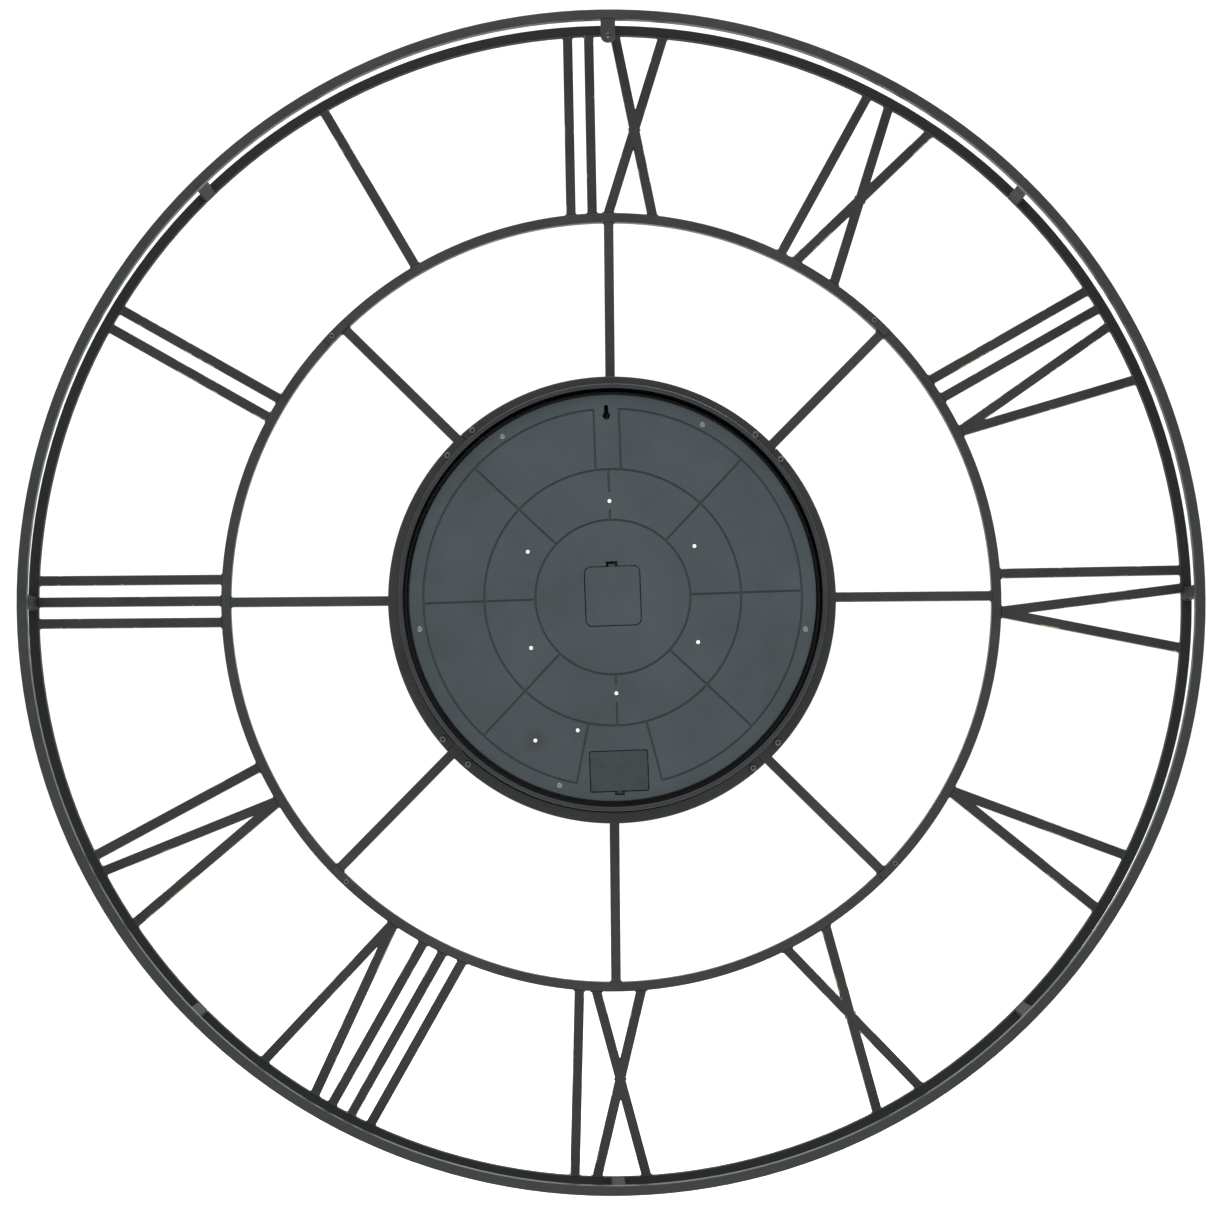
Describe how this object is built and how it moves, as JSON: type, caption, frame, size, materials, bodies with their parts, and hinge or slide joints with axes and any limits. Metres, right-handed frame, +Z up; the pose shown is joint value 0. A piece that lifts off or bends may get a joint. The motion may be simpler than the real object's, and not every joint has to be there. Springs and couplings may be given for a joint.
{
  "type": "skeleton wall clock",
  "caption": "Large round skeleton wall clock: steel tube rims and rings with Roman numerals of straight bars, and a round battery clock with hands in the hub. Hangs on one screw.",
  "frame": {"origin": "centre of the hanging hole, on the wall plane that the rear rim rests on", "axes": "+Z up, -Y out of the dial towards the viewer, +Y into the wall, +X to the viewer's right"},
  "size_m": [1.2, 0.09, 1.2],
  "materials": {
    "frame_steel": "fine matt powder coat over steel",
    "black_screw": "black oxide steel",
    "zinc_screw": "zinc plated steel",
    "plug_plastic": "moulded, hidden inside the tube",
    "cover_plastic": "moulded, fine matt texture",
    "case_plastic": "moulded, satin",
    "movement_plastic": "moulded, satin",
    "white_nylon": "moulded nylon",
    "dial_sheet": "printed sheet",
    "lens_glass": "clear, flat, polished",
    "hand_sheet": "black lacquer over aluminium sheet",
    "brass": "turned",
    "cell_jacket": "plain printed jacket",
    "spring_steel": "nickel plated",
    "lead_insulation": "soft insulation over copper"
  },
  "bodies": {
    "clock": {"rear_rim_top": "frame_steel", "rear_rim_right": "frame_steel", "rear_rim_bottom": "frame_steel", "rear_rim_left": "frame_steel", "front_rim_top": "frame_steel", "front_rim_right": "frame_steel", "front_rim_bottom": "frame_steel", "front_rim_left": "frame_steel", "middle_ring_top": "frame_steel", "middle_ring_right": "frame_steel", "middle_ring_bottom": "frame_steel", "middle_ring_left": "frame_steel", "hub_ring_top": "frame_steel", "hub_ring_right": "frame_steel", "hub_ring_bottom": "frame_steel", "hub_ring_left": "frame_steel", "numeral_01": "frame_steel", "numeral_02": "frame_steel", "numeral_03": "frame_steel", "numeral_04": "frame_steel", "numeral_05": "frame_steel", "numeral_06": "frame_steel", "numeral_07": "frame_steel", "numeral_08": "frame_steel", "numeral_09": "frame_steel", "numeral_10": "frame_steel", "numeral_11": "frame_steel", "numeral_12": "frame_steel", "straight_spokes": "frame_steel", "joint_spokes": "frame_steel", "rim_posts": "frame_steel", "hang_bracket": "frame_steel", "ring_splices": "frame_steel", "rim_plugs": "plug_plastic", "ring_screws": "black_screw", "hub_screws": "black_screw", "front_case": "case_plastic", "case_skirt": "case_plastic", "back_cover": "cover_plastic", "cover_screws": "zinc_screw", "cover_plugs": "white_nylon", "dial": "dial_sheet", "lens": "lens_glass", "bezel": "case_plastic", "movement_case": "movement_plastic", "movement_plate": "movement_plastic", "bush_nut": "brass", "battery_tray": "case_plastic", "battery_cells": "cell_jacket", "battery_contacts": "spring_steel", "battery_leads": "lead_insulation"},
    "minute": {"minute_hand": "hand_sheet", "minute_arbor": "brass", "hand_cap": "brass"},
    "hour": {"hour_hand": "hand_sheet", "hour_wheel": "white_nylon"},
    "minute_wheel": {"minute_wheel": "white_nylon"},
    "setting_knob": {"setting_knob": "movement_plastic"},
    "movement_cover": {"movement_cover": "cover_plastic"},
    "battery_door": {"battery_door": "cover_plastic"}
  },
  "joints": [
    {"name": "minute_turn", "type": "hinge", "parent": "clock", "child": "minute", "pos_m": [0, -0.079, -0.573], "axis": [0, 1, 0], "continuous": true},
    {"name": "hour_turn", "type": "hinge", "parent": "clock", "child": "hour", "pos_m": [0, -0.076, -0.573], "axis": [0, 1, 0], "continuous": true},
    {"name": "minute_wheel_turn", "type": "hinge", "parent": "clock", "child": "minute_wheel", "pos_m": [-0.00031, -0.058, -0.585], "axis": [0, 1, 0], "continuous": true},
    {"name": "setting_turn", "type": "hinge", "parent": "clock", "child": "setting_knob", "pos_m": [0.00992, -0.045, -0.59127], "axis": [0, 1, 0], "continuous": true},
    {"name": "movement_cover_swing", "type": "hinge", "parent": "clock", "child": "movement_cover", "pos_m": [-0.0006, -0.0311, -0.59599], "axis": [-0.9997, 0, 0.0262], "range_deg": [0, 100]},
    {"name": "battery_door_swing", "type": "hinge", "parent": "clock", "child": "battery_door", "pos_m": [-0.00418, -0.0311, -0.73245], "axis": [0.9997, 0, -0.0262], "range_deg": [0, 100]}
  ],
  "couplings": [
    {"joint": "hour_turn", "follows": "minute_turn", "ratio": 0.083333},
    {"joint": "minute_wheel_turn", "follows": "minute_turn", "ratio": -0.33333},
    {"joint": "setting_turn", "follows": "minute_turn", "ratio": 1}
  ]
}
